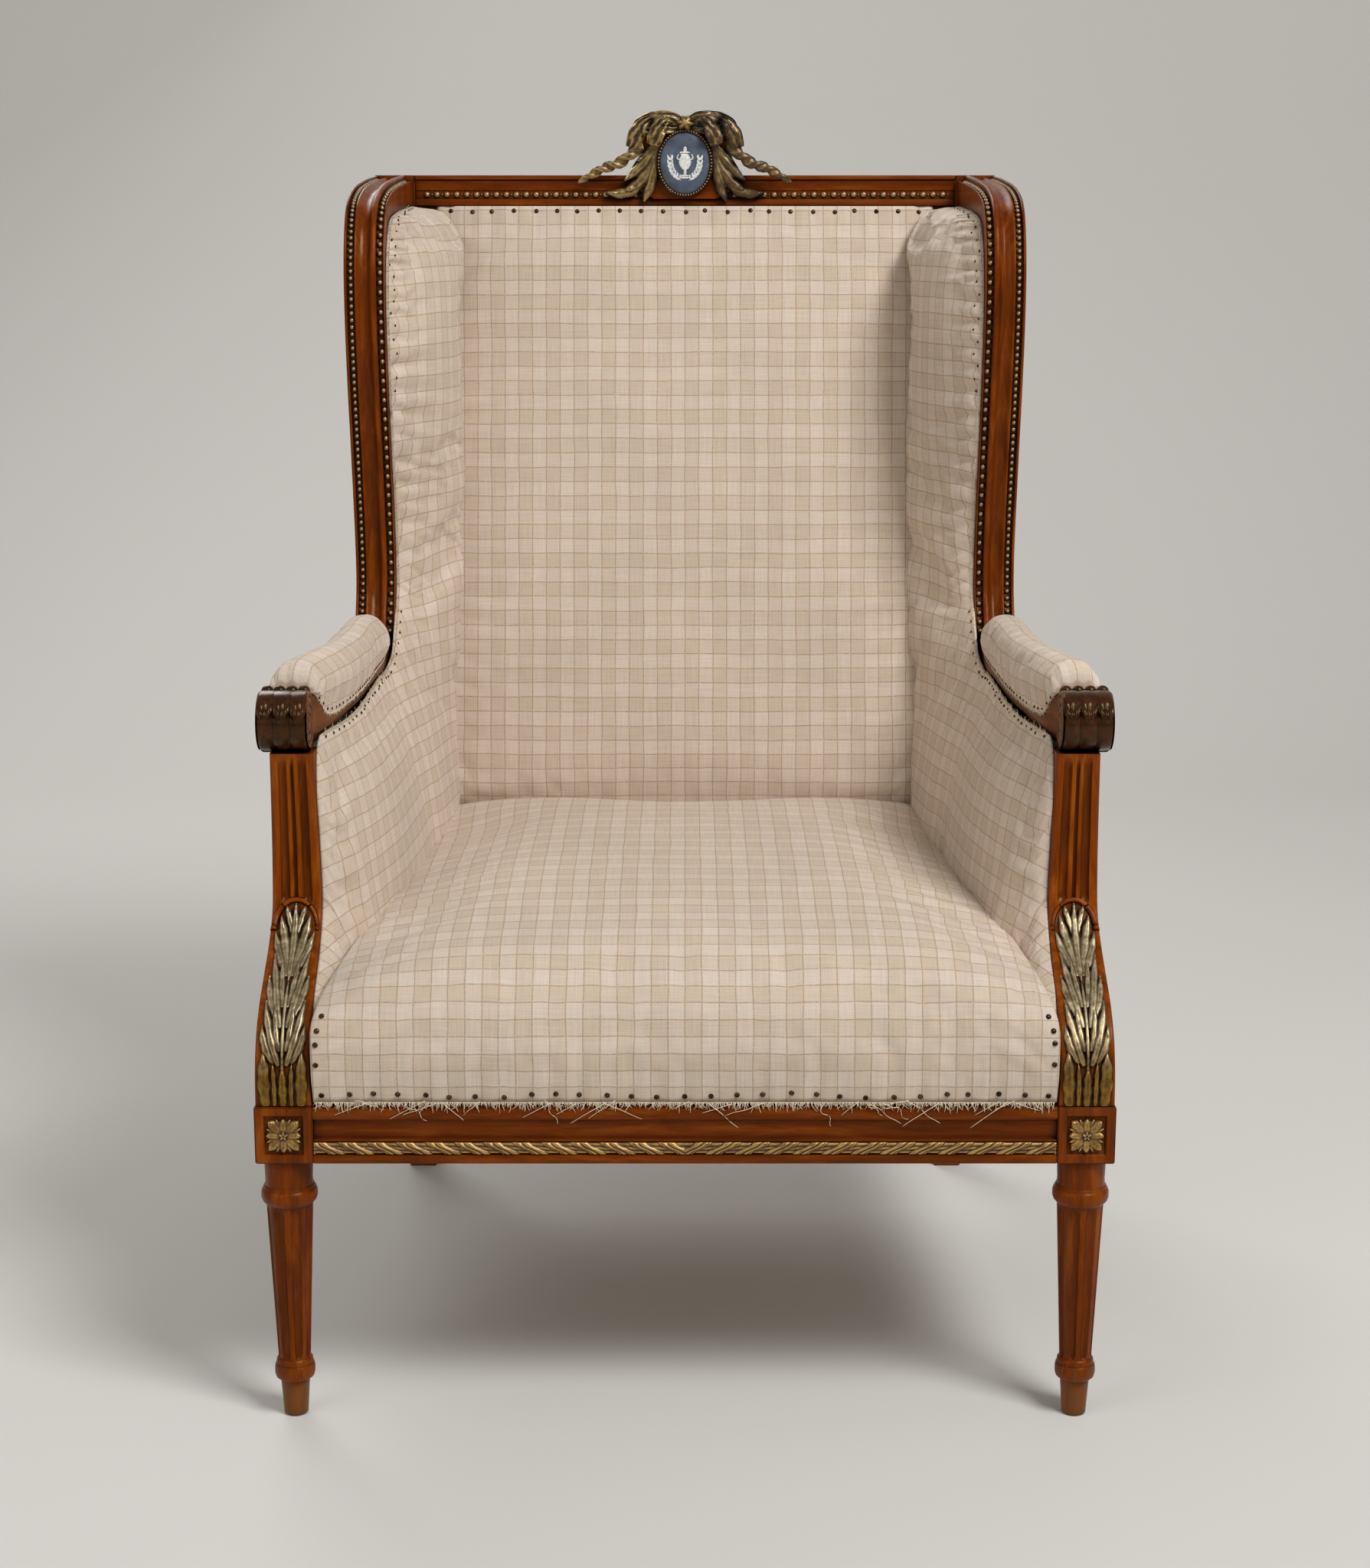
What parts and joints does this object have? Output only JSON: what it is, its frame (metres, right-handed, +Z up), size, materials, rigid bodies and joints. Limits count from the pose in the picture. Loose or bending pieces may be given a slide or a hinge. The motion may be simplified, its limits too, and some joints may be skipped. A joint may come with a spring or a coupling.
{
  "type": "upholstered wing armchair",
  "caption": "Carved wing armchair with upholstered seat, back and sides, padded arms, fluted front legs, raked back legs and a carved bow crest.",
  "frame": {"origin": "on the floor, at the middle of the chair's box", "axes": "+X across the chair to the right as it is seen from the front, -Y the way the chair faces, +Z up"},
  "size_m": [0.723, 0.7054, 1.0947],
  "materials": {
    "polished_walnut": "polished, carved and moulded",
    "gilded_carving": "carved, worn gilding",
    "beechwood": "bare sawn wood",
    "checked_cloth": "woven check with a frayed edge and dark nail heads",
    "jute": "coarse plain weave",
    "spring_steel": "drawn wire",
    "blue_ceramic": "matt with a pale relief"
  },
  "bodies": {
    "root": {"arm_left": "polished_walnut", "arm_pad_left": "checked_cloth", "arm_pad_right": "checked_cloth", "arm_post_left": "polished_walnut", "arm_post_right": "polished_walnut", "arm_right": "polished_walnut", "back_leg_left": "polished_walnut", "back_leg_right": "polished_walnut", "back_pad": "checked_cloth", "back_webbing": "jute", "corner_block_back_left": "beechwood", "corner_block_back_right": "beechwood", "corner_block_front_left": "beechwood", "corner_block_front_right": "beechwood", "crest_carving": "gilded_carving", "front_leg_left": "polished_walnut", "front_leg_right": "polished_walnut", "lower_back_rail": "beechwood", "outer_arm_cover_left": "checked_cloth", "outer_arm_cover_right": "checked_cloth", "outer_back_cover": "checked_cloth", "outer_wing_cover_left": "checked_cloth", "outer_wing_cover_right": "checked_cloth", "plaque": "blue_ceramic", "plaque_bezel": "gilded_carving", "seat_cushion": "checked_cloth", "seat_hessian": "jute", "seat_rail_back": "beechwood", "seat_rail_front": "polished_walnut", "seat_rail_left": "polished_walnut", "seat_rail_right": "polished_walnut", "seat_spring_1": "spring_steel", "seat_spring_2": "spring_steel", "seat_spring_3": "spring_steel", "seat_spring_4": "spring_steel", "seat_spring_5": "spring_steel", "seat_spring_6": "spring_steel", "seat_spring_7": "spring_steel", "seat_spring_8": "spring_steel", "seat_spring_9": "spring_steel", "seat_webbing": "jute", "side_pad_left": "checked_cloth", "side_pad_right": "checked_cloth", "tack_rail_left": "beechwood", "tack_rail_right": "beechwood", "top_rail": "polished_walnut", "wing_frame_left": "polished_walnut", "wing_frame_right": "polished_walnut"}
  },
  "joints": []
}
